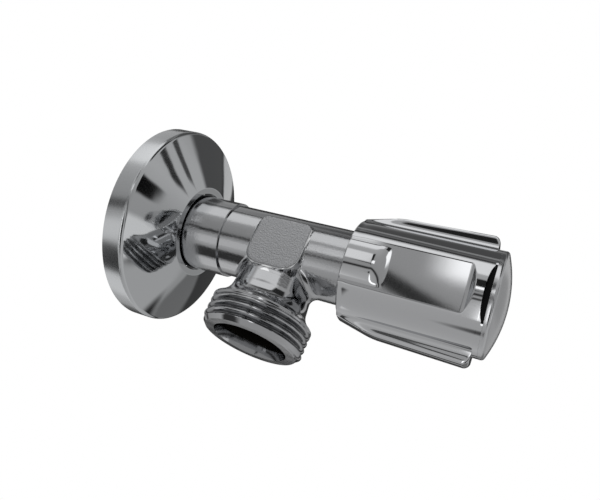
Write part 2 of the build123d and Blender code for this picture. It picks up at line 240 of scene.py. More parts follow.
def chromedForging(look, s):
    # chrome over hand-polished forged brass: soft gloss with streaks along the barrel, lathe rings on the
    # collar, die grit on flat pads with a painted highlight on their edges, painted shade down in the
    # thread's roots, and a dull bore darkened with painted shade
    material, tree, streaky, place = newMaterial("chrome_on_forged_brass", look["streak"])
    axes = addNode(tree, "ShaderNodeSeparateXYZ", Vector=place).outputs
    streaks = addNode(tree, "ShaderNodeTexNoise", Vector=streaky, Scale=1.0, Detail=4.0,
                      Roughness=0.6).outputs[0]
    swell = addNode(tree, "ShaderNodeTexNoise", Vector=place, Scale=1 / (look["swell"] * mm),
                    Detail=1.0).outputs[0]
    lathe = addNode(tree, "ShaderNodeTexNoise", {"noise_dimensions": "1D"}, W=axes["X"],
                    Scale=1 / (look["rings"] * mm), Detail=3.0).outputs[0]
    grit = addNode(tree, "ShaderNodeTexNoise", Vector=place, Scale=1 / (look["grit"] * mm),
                   Detail=3.0).outputs[0]
    # where each finish lies
    onCollar = addNode(tree, "ShaderNodeMath", {"operation": "LESS_THAN"}, i0=axes["X"],
                       i1=s["collarReach"] * mm).outputs[0]
    onBranch = addNode(tree, "ShaderNodeMath", {"operation": "LESS_THAN"}, i0=axes["Z"],
                       i1=look["branchTop"] * mm).outputs[0]
    sideways = addNode(tree, "ShaderNodeMath", {"operation": "ABSOLUTE"}, i0=axes["Y"]).outputs[0]
    padZones = []
    for key in ("padBlend", "edgeBlend"):
        zoneStart, zoneFull = (s["padFace"] - below for below in look[key])
        zone = addNode(tree, "ShaderNodeMapRange", Value=sideways, From_Min=zoneStart * mm,
                       From_Max=zoneFull * mm).outputs[0]
        for other in (*padZones, onBranch, onCollar):
            zone = addNode(tree, "ShaderNodeMath", {"operation": "SUBTRACT", "use_clamp": True}, i0=zone,
                           i1=other).outputs[0]
        padZones.append(zone)
    onPad, onEdge = padZones
    fromBranch = addNode(tree, "ShaderNodeVectorMath", {"operation": "SUBTRACT"}, i0=place,
                         i1=(s["outletX"] * mm, 0, 0)).outputs[0]
    fromBranch = addNode(tree, "ShaderNodeVectorMath", {"operation": "MULTIPLY"}, i0=fromBranch,
                         i1=(1, 1, 0)).outputs[0]
    reach = addNode(tree, "ShaderNodeVectorMath", {"operation": "LENGTH"}, i0=fromBranch).outputs["Value"]
    # painted shade in the bore: this mask darkens its colour and gives it a dull gloss
    boreRadius = s["recessRadius"] - s["mouthTaper"] + look["margin"]
    inBore = addNode(tree, "ShaderNodeMath", {"operation": "LESS_THAN"}, i0=reach,
                     i1=boreRadius * mm).outputs[0]
    inBore = addNode(tree, "ShaderNodeMath", {"operation": "MULTIPLY"}, i0=inBore, i1=onBranch).outputs[0]
    # painted shade in the outlet thread: the colour darkens from crest to root
    crest = bodyHigh.y
    grooveShadeMask = addNode(tree, "ShaderNodeMapRange", Value=reach, From_Min=crest * mm,
                       From_Max=(crest - s["threadDepth"]) * mm).outputs[0]
    for kind, value, limit in (("GREATER_THAN", axes["Z"], -s["threadTo"] - look["margin"]),
                               ("LESS_THAN", axes["Z"], -s["threadFrom"] + look["margin"]),
                               ("GREATER_THAN", reach, crest - 2 * s["threadDepth"])):
        here = addNode(tree, "ShaderNodeMath", {"operation": kind}, i0=value, i1=limit * mm).outputs[0]
        grooveShadeMask = addNode(tree, "ShaderNodeMath", {"operation": "MULTIPLY"}, i0=grooveShadeMask, i1=here).outputs[0]
    # colour and gloss, one finish laid over the other; the edge colour is a painted highlight, and the bore
    # and groove colours are painted shade
    colour = hexColour(look["colour"])
    for zone, key in ((onPad, "padColour"), (onEdge, "edgeHighlight"), (inBore, "boreShade"),
                      (grooveShadeMask, "grooveShade")):
        colour = addNode(tree, "ShaderNodeMix", {"data_type": "RGBA"}, i0=zone, i6=colour,
                         i7=hexColour(look[key])).outputs[2]
    gloss = addNode(tree, "ShaderNodeMapRange", Value=streaks, From_Min=0.3, From_Max=0.7,
                    To_Min=look["roughness"][0], To_Max=look["roughness"][1]).outputs[0]
    for zone, key in ((onBranch, "branchRoughness"), (onPad, "padRoughness"), (onEdge, "edgeRoughness"),
                      (inBore, "boreRoughness")):
        gloss = addNode(tree, "ShaderNodeMix", i0=zone, i2=gloss, i3=look[key]).outputs[0]
    # relief: swell and streaks, rings on the collar, and grit that the branch doesn't have
    height = addNode(tree, "ShaderNodeMath", {"operation": "MULTIPLY_ADD"}, i0=swell, i1=look["swellShare"],
                     i2=streaks).outputs[0]
    height = addNode(tree, "ShaderNodeMath", {"operation": "MULTIPLY_ADD"}, i0=lathe, i1=onCollar,
                     i2=height).outputs[0]
    depth = addNode(tree, "ShaderNodeMapRange", Value=onPad, To_Min=look["barrelGrit"],
                    To_Max=look["padGrit"]).outputs[0]
    smooth = addNode(tree, "ShaderNodeMath", {"operation": "SUBTRACT"}, i0=1.0, i1=onBranch).outputs[0]
    depth = addNode(tree, "ShaderNodeMath", {"operation": "MULTIPLY"}, i0=depth, i1=smooth).outputs[0]
    height = addNode(tree, "ShaderNodeMath", {"operation": "MULTIPLY_ADD"}, i0=grit, i1=depth,
                     i2=height).outputs[0]
    dressed(tree, height, look["relief"], Base_Color=colour, Metallic=1.0, Roughness=gloss)
    return material


# the cut's dark colour here is painted shade for the slot beside the handle's cap
mirrorLook = {"rimBlend": 0.3, "rimRoughness": 0.2, "cutRoughness": 0.55, "cutShade": "#242425"}


def mirrorChrome(name, colour, peel, depth, roughness, rim=1000.0, cut=(1000.0, 0.0), look=mirrorLook):
    # bright chrome on a polished part: a near mirror with a faint orange peel and a few dull clouds, and
    # a softer sheen on a rim beyond that radius; a cut past that place and below that radius is rough as cast
    # and darkened with painted shade
    material, tree, peeled, place = newMaterial(name, (peel, peel, peel))
    wave = addNode(tree, "ShaderNodeTexNoise", Vector=peeled, Scale=1.0, Detail=2.0).outputs[0]
    cloud = addNode(tree, "ShaderNodeTexNoise", Vector=peeled, Scale=0.3, Detail=3.0).outputs[0]
    gloss = addNode(tree, "ShaderNodeMapRange", Value=cloud, From_Min=0.3, From_Max=0.7,
                    To_Min=roughness[0], To_Max=roughness[1]).outputs[0]
    across = addNode(tree, "ShaderNodeVectorMath", {"operation": "MULTIPLY"}, i0=place,
                     i1=(0, 1, 1)).outputs[0]
    radius = addNode(tree, "ShaderNodeVectorMath", {"operation": "LENGTH"}, i0=across).outputs["Value"]
    onRim = addNode(tree, "ShaderNodeMapRange", Value=radius, From_Min=(rim - look["rimBlend"]) * mm,
                    From_Max=rim * mm).outputs[0]
    along = addNode(tree, "ShaderNodeSeparateXYZ", Vector=place).outputs["X"]
    past = addNode(tree, "ShaderNodeMath", {"operation": "GREATER_THAN"}, i0=along, i1=cut[0] * mm).outputs[0]
    below = addNode(tree, "ShaderNodeMath", {"operation": "LESS_THAN"}, i0=radius, i1=cut[1] * mm).outputs[0]
    inCut = addNode(tree, "ShaderNodeMath", {"operation": "MULTIPLY"}, i0=past, i1=below).outputs[0]
    for zone, key in ((onRim, "rimRoughness"), (inCut, "cutRoughness")):
        gloss = addNode(tree, "ShaderNodeMix", i0=zone, i2=gloss, i3=look[key]).outputs[0]
    # painted shade: the cut's colour is darkened
    tone = addNode(tree, "ShaderNodeMix", {"data_type": "RGBA"}, i0=inCut, i6=hexColour(colour),
                   i7=hexColour(look["cutShade"])).outputs[2]
    dressed(tree, wave, depth, Base_Color=tone, Metallic=1.0, Roughness=gloss)
    return material


def turnedMetal(name, colours, roughness, rings=0.3, tarnish=4.0, relief=0.008):
    # bare metal off the lathe: fine rings across the axis and a slightly uneven colour
    material, tree, ringed, place = newMaterial(name, (rings, 30.0, 30.0))
    lathe = addNode(tree, "ShaderNodeTexNoise", Vector=ringed, Scale=1.0, Detail=3.0).outputs[0]
    stain = addNode(tree, "ShaderNodeTexNoise", Vector=place, Scale=1 / (tarnish * mm), Detail=3.0).outputs[0]
    colour = addNode(tree, "ShaderNodeMix", {"data_type": "RGBA"}, i0=stain, i6=hexColour(colours[0]),
                     i7=hexColour(colours[1])).outputs[2]
    gloss = addNode(tree, "ShaderNodeMapRange", Value=lathe, From_Min=0.3, From_Max=0.7,
                    To_Min=roughness[0], To_Max=roughness[1]).outputs[0]
    dressed(tree, lathe, relief, Base_Color=colour, Metallic=1.0, Roughness=gloss)
    return material


def mouldedSoft(name, colours, roughness, grain, depth, ior):
    # rubber, fibre or plastic: a dull skin with a fine moulded or pressed grain
    material, tree, grainy, place = newMaterial(name, (grain, grain, grain))
    skin = addNode(tree, "ShaderNodeTexNoise", Vector=grainy, Scale=1.0, Detail=4.0).outputs[0]
    colour = addNode(tree, "ShaderNodeMix", {"data_type": "RGBA"}, i0=skin, i6=hexColour(colours[0]),
                     i7=hexColour(colours[1])).outputs[2]
    gloss = addNode(tree, "ShaderNodeMapRange", Value=skin, To_Min=roughness[0],
                    To_Max=roughness[1]).outputs[0]
    dressed(tree, skin, depth, Base_Color=colour, Roughness=gloss, IOR=ior)
    return material


# forged body

bodySizes = {
    "barrelRadius": 9.7,
    "collarRadius": 10.25,
    "collarReach": 22.5,
    "stepChamfer": 0.14,
    "tailRadius": 10.478,
    "tailThreadLength": 18.0,
    "tailChamfer": 1.0,
    "outletX": 39.1,
    "rootRadius": 8.6,
    "waistRadius": 10.1,
    "waistDrop": 13.4,
    "flareFrom": 12.8,
    "flarePower": 2.7,
    "threadFrom": 18.6,
    "threadTo": 24.9,
    "leadDepth": 1.3,
    "pitch": 1.814,
    "threadDepth": 1.05,
    "crestPlace": 19.05,
    "flankSlope": 1.5,
    "flankShift": 0.25,
    "flankRound": 0.3,
    "tailFade": 2.0,
    "tailRunOut": 0.25,
    "tailFirstRow": 0.15,
    "outletFade": 1.0,
    "outletRunIn": 0.3,
    "outletPast": 3.0,
    "leadRound": 0.1,
    "bellRow": 0.15,
    "lastRow": 0.02,
    "endChamfer": 0.3,
    "slack": 0.01,
    "crotch": 2.4,
    "leastCrotch": 0.02,
    "padFace": 10.05,
    "padHalfWidth": 7.2,
    "padTop": 4.4,
    "padFoot": 9.6,
    "padTopCorner": 2.2,
    "padFootCorner": 4.2,
    "padEdge": 0.45,
    "padRoot": 0.3,
    "skin": 0.3,
    "blankOver": 3.0,
    "cutBack": 26.0,
    "cutFront": 52.0,
    "cutDrop": 16.6,
    "joint": 0.35,
    "inletBore": 6.0,
    "seatBore": 5.2,
    "seatX": 31.0,
    "seatWall": 2.5,
    "seatLipRadius": 6.2,
    "seatLipLength": 0.8,
    "chamberRadius": 7.885,
    "outletBore": 6.6,
    "recessRadius": 9.6,
    "recessDepth": 6.7,
    "mouthTaper": 0.7,
    "taperLength": 3.6,
    "mouthChamfer": 0.25,
}
bodyLow, bodyHigh = cornersOf("valve_body")
quarterTurn = Matrix.Rotation(math.radians(90), 4, "Y")
outletPlace = Matrix.Translation((bodySizes["outletX"], 0, 0)) @ quarterTurn


def threadWave(phase, s=bodySizes):
    # 0 at a crest and 1 at a root, with rounded tops and straight flanks
    ramp = np.abs((phase % 1.0) * 2 - 1)
    flank = (1 - ramp) * s["flankSlope"] - s["flankShift"]
    crested = smoothMax(flank, np.zeros_like(flank), s["flankRound"])
    return smoothMin(crested, np.ones_like(flank), s["flankRound"])


def neckRadius(drop, s=bodySizes):
    # outline of the branch: a slow cone to the waist, then a bell out to the thread
    widening = s["waistRadius"] - s["rootRadius"]
    cone = s["rootRadius"] + widening * np.minimum(drop, s["waistDrop"]) / s["waistDrop"]
    share = np.clip((drop - s["flareFrom"]) / (s["threadFrom"] - s["flareFrom"]), 0, 1)
    return cone + (bodyHigh.y - s["waistRadius"]) * share ** s["flarePower"]


def roundUnion(a, b, fillet):
    # two distances joined with a fillet of that radius
    joined = np.maximum(fillet, np.minimum(a, b))
    return joined - np.hypot(np.maximum(fillet - a, 0), np.maximum(fillet - b, 0))


def bodyDistance(places, s=bodySizes):
    # distance to the forging: barrel, branch and the two flat pads
    x, y, z = places.T
    fromAxis = np.hypot(y, z)
    fromBranch = np.hypot(x - s["outletX"], y)
    barrel = fromAxis - s["barrelRadius"]
    branch = np.maximum(fromBranch - neckRadius(np.maximum(-z, 0)), z)
    facing = y * y / np.maximum(fromAxis * fromBranch, 1e-6)
    forging = roundUnion(barrel, branch, s["crotch"] * np.clip(1 - facing, s["leastCrotch"], 1))
    halfHeight = (s["padTop"] + s["padFoot"]) / 2
    up = z - (s["padTop"] - s["padFoot"]) / 2
    corner = np.where(up > 0, s["padTopCorner"], s["padFootCorner"])
    sideways = np.abs(x - s["outletX"]) - s["padHalfWidth"] + corner
    upwards = np.abs(up) - halfHeight + corner
    outline = np.minimum(np.maximum(sideways, upwards), 0) - corner
    outline = outline + np.hypot(np.maximum(sideways, 0), np.maximum(upwards, 0)) + s["padEdge"]
    proud = np.abs(y) - s["padFace"] + s["padEdge"]
    pad = np.minimum(np.maximum(outline, proud), 0) - s["padEdge"]
    pad = pad + np.hypot(np.maximum(outline, 0), np.maximum(proud, 0))
    return roundUnion(forging, pad, s["padRoot"])


def drawnOn(places, distance, passes=8, step=0.01, leastSlope=0.05, longestMove=0.4):
    # moves points along the slope of a distance until they lie on its surface
    for _ in range(passes):
        here = distance(places)
        slope = np.stack([distance(places + step * axis) - distance(places - step * axis)
                          for axis in np.eye(3)], axis=1) / (2 * step)
        move = here[:, None] * slope / np.maximum((slope * slope).sum(1), leastSlope)[:, None]
        places = places - np.clip(move, -longestMove, longestMove)
    return places


def forgedCentre(s=bodySizes):
    # rough blanks, skinned over as one, then drawn on to the blended form
    bm = bmesh.new()
    over = s["blankOver"]
    length = s["cutFront"] - s["cutBack"] + 2 * over
    barrelPlace = Matrix.Translation(((s["cutFront"] + s["cutBack"]) / 2, 0, 0)) @ quarterTurn
    bmesh.ops.create_cone(bm, cap_ends=True, segments=96, radius1=s["barrelRadius"],
                          radius2=s["barrelRadius"], depth=length, matrix=barrelPlace)
    drop = s["cutDrop"] + over
    branchPlace = Matrix.Translation((s["outletX"], 0, -drop / 2))
    bmesh.ops.create_cone(bm, cap_ends=True, segments=96, radius1=s["waistRadius"],
                          radius2=s["rootRadius"], depth=drop, matrix=branchPlace)
    padPlace = Matrix.Translation((s["outletX"], 0, (s["padTop"] - s["padFoot"]) / 2))
    padSize = Matrix.Diagonal((2 * s["padHalfWidth"], 2 * s["padFace"], s["padTop"] + s["padFoot"], 1))
    bmesh.ops.create_cube(bm, size=1, matrix=padPlace @ padSize)
    blank = asObject(asMesh(bm, "blank"))
    skin = blank.modifiers.new("skin", "REMESH")
    skin.mode = "VOXEL"
    skin.voxel_size = s["skin"]
    bm = applied(blank)

    def rule(places):
        inside = (places[:, 0] > s["cutBack"] - over / 2) & (places[:, 0] < s["cutFront"] + over / 2)
        inside &= places[:, 2] > -s["cutDrop"] - over / 3
        moved = places.copy()
        moved[inside] = drawnOn(places[inside], bodyDistance)
        return moved

    reshape(bm, rule)
    for point, normal in (((s["cutBack"], 0, 0), (-1, 0, 0)), ((s["cutFront"], 0, 0), (1, 0, 0)),
                          ((0, 0, -s["cutDrop"]), (0, 0, -1))):
        bmesh.ops.bisect_plane(bm, geom=bm.verts[:] + bm.edges[:] + bm.faces[:], dist=0.001,
                               plane_co=point, plane_no=normal, clear_outer=True)
    return bm


def threaded(along, angle, crest, depth, pitch, offset, start, end, fade):
    # radius of a right-hand thread that runs out at both ends
    phase = (along - offset) / pitch - angle / (2 * math.pi)
    cut = smoothStep(along, start, start + fade) * (1 - smoothStep(along, end - fade, end))
    return crest - depth * threadWave(phase) * cut


def tailPart(s=bodySizes):
    # wall tail with its pipe thread, the collar and the start of the barrel
    tail = bodyLow.x
    threadEnd = tail + s["tailThreadLength"]
    rows = np.arange(tail + s["tailFirstRow"], threadEnd, s["pitch"] / 14)
    profile = [(tail, 0), (tail, s["tailRadius"] - s["tailChamfer"])]
    profile += [(row, s["tailRadius"]) for row in rows]
    profile += [
        (threadEnd, s["tailRadius"]),
        (threadEnd + s["tailRunOut"], s["collarRadius"]),
        (s["collarReach"] - s["stepChamfer"], s["collarRadius"]),
        (s["collarReach"], s["collarRadius"] - s["stepChamfer"]),
        (s["collarReach"], s["barrelRadius"]),
        (s["cutBack"] - s["joint"], s["barrelRadius"]),
    ]
    bm = turned(profile, steps=176)

    def rule(places):
        x, y, z = places.T
        radius, angle = np.hypot(y, z), np.arctan2(z, y)
        onThread = (x < threadEnd - s["slack"]) & (radius > s["tailRadius"] - s["slack"])
        crest = threaded(x, angle, s["tailRadius"], s["threadDepth"], s["pitch"], 0,
                         tail - s["tailFade"], threadEnd, s["tailFade"])
        crest = np.minimum(crest, s["tailRadius"] - s["tailChamfer"] + (x - tail))
        scale = np.where(onThread, crest / np.maximum(radius, 1e-6), 1)
        return np.stack([x, y * scale, z * scale], axis=1)

    reshape(bm, rule)
    return bm


def outletPart(s=bodySizes):
    # bell of the branch, the outlet's pipe thread, its lead and the end face
    end = -bodyLow.z
    crest = bodyHigh.y
    bell = np.arange(s["cutDrop"] + s["joint"], s["threadFrom"], s["bellRow"])
    profile = [(drop, float(neckRadius(drop))) for drop in bell]
    profile += [(drop, crest) for drop in np.arange(s["threadFrom"], end - s["lastRow"], s["pitch"] / 16)]
    profile += [(end, crest - s["leadDepth"]), (end, 0)]
    bm = turned(profile, steps=224)

    def rule(places):
        x, y, z = places.T
        radius, angle = np.hypot(y, z), np.arctan2(z, y)
        onThread = (radius > crest - s["slack"]) & (x < end - s["slack"])
        height = threaded(x, angle, crest, s["threadDepth"], s["pitch"], s["crestPlace"],
                          s["threadFrom"] + s["outletRunIn"], end + s["outletPast"], s["outletFade"])
        lead = (end - s["threadTo"]) / s["leadDepth"]
        height = smoothMin(height, crest - np.maximum(x - s["threadTo"], -1) / lead, s["leadRound"])
        scale = np.where(onThread, height / np.maximum(radius, 1e-6), 1)
        return np.stack([x, y * scale, z * scale], axis=1)

    reshape(bm, rule)
    bmesh.ops.transform(bm, matrix=outletPlace, verts=bm.verts)
    return bm


def barrelEnd(s=bodySizes):
    # plain end of the barrel that the handle covers, with its chamfer
    end = bodyHigh.x
    return turned([
        (s["cutFront"] + s["joint"], s["barrelRadius"]),
        (end - s["endChamfer"], s["barrelRadius"]),
        (end, s["barrelRadius"] - s["endChamfer"]),
        (end, 0),
    ], steps=176)


def bodyBores(s=bodySizes):
    # cutters for the waterway: inlet, seat and chamber, then the outlet with its recess
    over = 1.0
    seatBack = s["seatX"] - s["seatWall"]
    lipFoot = s["seatX"] - s["seatLipLength"]
    waterway = turned([
        (bodyLow.x - over, 0),
        (bodyLow.x - over, s["inletBore"] + over + s["mouthChamfer"]),
        (bodyLow.x + s["mouthChamfer"], s["inletBore"]),
        (seatBack, s["inletBore"]),
        (seatBack, s["seatBore"]),
        (s["seatX"], s["seatBore"]),
        (s["seatX"], s["seatLipRadius"]),
        (lipFoot, s["seatLipRadius"]),
        (lipFoot, s["chamberRadius"]),
        (bodyHigh.x + over, s["chamberRadius"]),
        (bodyHigh.x + over, 0),
    ], steps=128)
    end = -bodyLow.z
    recess = end - s["recessDepth"]
    outlet = turned([
        (0, 0),
        (0, s["outletBore"]),
        (recess - s["mouthChamfer"], s["outletBore"]),
        (recess, s["outletBore"] + s["mouthChamfer"]),
        (recess, s["recessRadius"] - s["mouthTaper"]),
        (end - s["taperLength"], s["recessRadius"] - s["mouthTaper"]),
        (end, s["recessRadius"]),
        (end + over, s["recessRadius"] + over * s["mouthTaper"] / s["taperLength"]),
        (end + over, 0),
    ], steps=160, place=outletPlace)
    return waterway, outlet


def joinRings(bm, axis, first, second, slack=0.02):
    # faces between two open rings that lie close together on one axis
    ring = []
    for edge in bm.edges:
        places = [vert.co[axis] for vert in edge.verts]
        if edge.is_boundary and all(min(abs(at - first), abs(at - second)) < slack for at in places):
            ring.append(edge)
    bmesh.ops.bridge_loops(bm, edges=ring)


def makeForgedBody(s=bodySizes):
    # the forging and its turned ends joined to one closed skin, then bored
    bm = forgedCentre()
    for part in (tailPart(), outletPart(), barrelEnd()):
        bm.from_mesh(asMesh(part, "part"))
    joinRings(bm, 0, s["cutBack"], s["cutBack"] - s["joint"])
    joinRings(bm, 0, s["cutFront"], s["cutFront"] + s["joint"])
    joinRings(bm, 2, -s["cutDrop"], -s["cutDrop"] - s["joint"])
    bmesh.ops.remove_doubles(bm, verts=bm.verts, dist=0.0005)
    bmesh.ops.recalc_face_normals(bm, faces=bm.faces)
    print("open edges on the forging:", sum(not edge.is_manifold for edge in bm.edges))
    blank = asObject(asMesh(bm, "blank"))
    cutters = [asObject(asMesh(cutter, "bore")) for cutter in bodyBores()]
    for cutter in cutters:
        bore = blank.modifiers.new("bore", "BOOLEAN")
        bore.operation = "DIFFERENCE"
        bore.solver = "EXACT"
        bore.object = cutter
    bm = applied(blank)
    for cutter in cutters:
        bpy.data.objects.remove(cutter)
    print("open edges on the body:", sum(not edge.is_manifold for edge in bm.edges))
    addPiece("forged_body", bm, bodyChrome, "valve_body")


# wall rosette

rosetteSizes = {
    "wall": 0.9,
    "band": 5.6,
    "edge": 1.3,
    "holeRadius": 10.8,
    "lip": 1.75,
    "lipEdge": 0.6,
    "rim": 0.25,
    "turnIn": 4.0,
    "sleeve": 0.35,
    "rimShine": 0.1,
}
rosetteHigh = cornersOf("wall_rosette")[1]


def makeRosette(s=rosetteSizes):
    # pressed plate: straight rim, conical face and a turned-in ring round the hole
    radius, height = rosetteHigh.y, rosetteHigh.x
    lip = s["holeRadius"] + s["lip"]
    profile = roundCorners([
        (0, radius),
        (s["band"], radius, s["edge"]),
        (height, lip, s["lipEdge"]),
        (height, s["holeRadius"], s["rim"]),
        (height - s["turnIn"], s["holeRadius"]),
        (height - s["turnIn"], s["holeRadius"] + s["sleeve"]),
        (height - s["wall"], s["holeRadius"] + s["sleeve"]),
        (height - s["wall"], lip - s["wall"], s["rim"]),
        (s["band"] - s["wall"], radius - s["wall"], s["edge"] - s["wall"]),
        (0, radius - s["wall"]),
    ], segments=10)
    bm = turned(profile, steps=320, closed=True)
    addPiece("rosette_plate", bm, rosetteChrome, "wall_rosette")


# handle

handleSizes = {
    "turn": 15.0,
    "radius": 12.9,
    "cavityRadius": 10.3,
    "cavityChamfer": 0.3,
    "gripRadius": 15.8,
    "gripStart": 0.3,
    "gripTaper": 0.5,
    "gripHalfWidth": 4.2,
    "gripValley": 2.4,
    "gripEdge": 1.2,
    "gripRamp": 9.0,
    "gripKnee": 0.4,
    "gripEnd": 1.2,
    "gripRound": 1.5,
    "mouthEdge": 0.4,
    "panelFloor": 11.5,
    "panelEnd": 3.4,
    "panelEdge": 0.12,
    "panelCove": 0.5,
    "blockLength": 8.8,
    "blockRamp": 4.0,
    "blockHalfWidth": 4.85,
    "blockEdge": 1.0,
    "blockTop": 12.65,
    "blockSpread": 1.0,
    "slotLength": 1.4,
    "slotFloor": 11.05,
    "slotBlunt": 0.15,
    "slotClear": 3.0,
    "wallRun": 0.12,
    "webStart": 77.525,
    "webLength": 6.0,
    "webFloor": 1.5,
    "recessRadius": 9.0,
    "screwHole": 1.55,
    "socket": 2.85,
    # steps round a quarter turn, and the angle from the panel's middle that each count reaches
    "fans": ((0, 0), (10, 17), (36, 30), (50, 64), (74, 78), (82, 90)),
}
handleLow, handleHigh = cornersOf("handle")


def handleRadius(x, lean, s=handleSizes):
    # outside of the handle by place along the axis and angle from the panel's middle
    start, end = handleLow.x, handleHigh.x
    cosine = np.maximum(np.cos(lean), 1e-3)
    sine = np.maximum(np.sin(lean), 1e-3)
    # round body and straight-sided grip pads under a tapered envelope
    rise = start + s["gripRamp"]
    finish = end - s["gripEnd"]
    foot, shoulder = s["radius"] + s["gripStart"], s["gripRadius"] - s["gripTaper"]
    ramp = foot + (x - start) * (shoulder - foot) / s["gripRamp"]
    taper = shoulder + (x - rise) * s["gripTaper"] / (finish - s["gripRound"] - rise)
    top = np.minimum(smoothMin(ramp, taper, s["gripKnee"]), s["gripRadius"])
    into = np.clip((x - finish + s["gripRound"]) / s["gripRound"], 0, 1)
    top = top - s["gripRound"] * (1 - np.sqrt(1 - into * into))
    top = np.where(x > finish + 1e-6, s["radius"], top)
    section = smoothMax(np.full_like(x, s["radius"]), s["gripHalfWidth"] / cosine, s["gripValley"])
    height = smoothMin(section, top, np.minimum(s["gripEdge"], 2 * np.maximum(top - s["radius"], 0.01)))
    # flat panel with its sloping end
    slopeStart = end - s["panelEnd"] - s["radius"] + s["panelFloor"]
    slope = smoothMax(x - slopeStart, np.zeros_like(x), s["panelCove"])
    height = smoothMin(height, (s["panelFloor"] + slope) / cosine, s["panelEdge"])
    # raised block at the mouth
    across = height * sine
    side = np.clip((s["blockHalfWidth"] - across) / s["blockEdge"], 0, 1)
    blockEnd = start + s["blockLength"]
    ahead = smoothStep(blockEnd - x, -s["blockRamp"] / 2, s["blockRamp"] / 2)
    floor = s["panelFloor"] / cosine
    crown = floor + (s["blockTop"] - floor) * np.sqrt(1 - (1 - side) ** 2) * ahead
    onBlock = (across < s["blockHalfWidth"]) & (s["blockTop"] * cosine > s["panelFloor"] - s["blockSpread"])
    height = np.where(onBlock, np.maximum(height, crown), height)
    # slot beside the cap, milled to a lens
    edge = np.tan(lean) / math.sqrt((s["radius"] / s["slotFloor"]) ** 2 - 1)
    slotStart = end - s["slotLength"] * np.sqrt(np.clip(1 - edge * edge, s["slotBlunt"], 1))
    inSlot = smoothStep(x, slotStart - s["wallRun"] / 2, slotStart + s["wallRun"] / 2)
    height = np.minimum(height, s["slotFloor"] / cosine + (1 - inSlot) * s["slotClear"])
    # rounded edge at the mouth
    into = np.clip(1 - (x - start) / s["mouthEdge"], 0, 1)
    return height - s["mouthEdge"] * (1 - np.sqrt(1 - into * into))


def makeHandle(s=handleSizes):
    # a turned cup, its outside shaped into pads, panels, blocks and slots, with a square socket
    start, end = handleLow.x, handleHigh.x
    panelEnd, slotStart, gripEnd = end - s["panelEnd"], end - s["slotLength"], end - s["gripEnd"]
    blockEnd = start + s["blockLength"]
    # rows are closest where the outside turns: place along the axis, and spacing from there on
    spans = (
        (start, 0.07),
        (start + 0.45, 0.4),
        (blockEnd - 2.2, 0.14),
        (blockEnd + 2.2, 0.5),
        (panelEnd - 2.0, 0.1),
        (panelEnd + 0.3, 0.12),
        (slotStart - 0.15, 0.03),
        (slotStart + 0.15, 0.06),
        (gripEnd + 0.12, 0.06),
        (end, 0.2),
    )
    rows = []
    for (first, spacing), (last, _) in zip(spans, spans[1:]):
        rows += list(np.arange(first, last, spacing))
    rows.append(end)
    webEnd = s["webStart"] + s["webLength"]
    socketEnd = webEnd - s["webFloor"]
    profile = [(row, s["radius"]) for row in rows]
    profile += [
        (end, s["recessRadius"]),
        (webEnd, s["recessRadius"]),
        (webEnd, s["screwHole"]),
        (socketEnd, s["screwHole"]),
        (socketEnd, s["socket"]),
        (s["webStart"], s["socket"]),
        (s["webStart"], s["cavityRadius"]),
        (start + s["cavityChamfer"], s["cavityRadius"]),
        (start, s["cavityRadius"] + s["cavityChamfer"]),
    ]
    counts, leans = np.array(s["fans"], float).T
    quarter = counts[-1]
    bm = turned(profile, steps=int(4 * quarter), closed=True)
    slack = 0.05

    def rule(places):
        x, y, z = places.T
        radius = np.hypot(y, z)
        place = (np.arctan2(z, y) % (2 * math.pi)) / (math.pi / 2)
        fold = np.where(place.astype(int) % 2 == 0, place % 1, 1 - place % 1)
        lean = np.radians(np.interp(fold * quarter, counts, leans))
        sector = np.floor(place + 1e-9)
        angle = np.where(sector % 2 == 0, sector * math.pi / 2 + lean, (sector + 1) * math.pi / 2 - lean)
        outer = radius > s["radius"] - slack
        inSocket = np.abs(radius - s["socket"]) < slack
        square = s["socket"] / np.maximum(np.abs(np.cos(angle)), np.abs(np.sin(angle)))
        radius = np.where(outer, handleRadius(x, lean), np.where(inSocket, square, radius))
        return np.stack([x, radius * np.cos(angle), radius * np.sin(angle)], axis=1)

    reshape(bm, rule)
    turn = Matrix.Rotation(math.radians(s["turn"]), 3, "X")
    bmesh.ops.rotate(bm, cent=(0, 0, 0), matrix=turn, verts=bm.verts)
    addPiece("turning_handle", bm, handleChrome, "handle")


# handle cap

capSizes = {
    "band": 1.3,
    "edge": 0.9,
    "plugRadius": 8.95,
    "plugWall": 1.5,
    "plugEdge": 0.2,
    "seam": 0.05,
    "domeRows": 24,
}
capLow, capHigh = cornersOf("handle_cap")


def makeHandleCap(s=capSizes):
    # disc with a soft dome; the plug behind it sits in the handle
    seat, crown, radius = handleHigh.x, capHigh.x, capHigh.y
    dome = crown - seat - s["band"]
    ball = (radius ** 2 + dome ** 2) / (2 * dome)
    rim = math.asin(radius / ball)
    inset = s["edge"] / radius
    arc = [(crown - ball * (1 - math.cos(rim * share)), ball * math.sin(rim * share))
           for share in np.linspace(0, 1 - inset, s["domeRows"])]
    profile = arc + roundCorners([
        arc[-1],
        (seat + s["band"], radius, s["edge"]),
        (seat, radius, s["seam"]),
        (seat, s["plugRadius"]),
        (capLow.x, s["plugRadius"], s["plugEdge"]),
        (capLow.x, s["plugRadius"] - s["plugWall"]),
        (seat, s["plugRadius"] - s["plugWall"]),
        (seat, 0),
    ], segments=8)[1:]
    bm = turned(profile, steps=256)
    addPiece("handle_end_cap", bm, capChrome, "handle_cap")


# finishes by the slots of the record

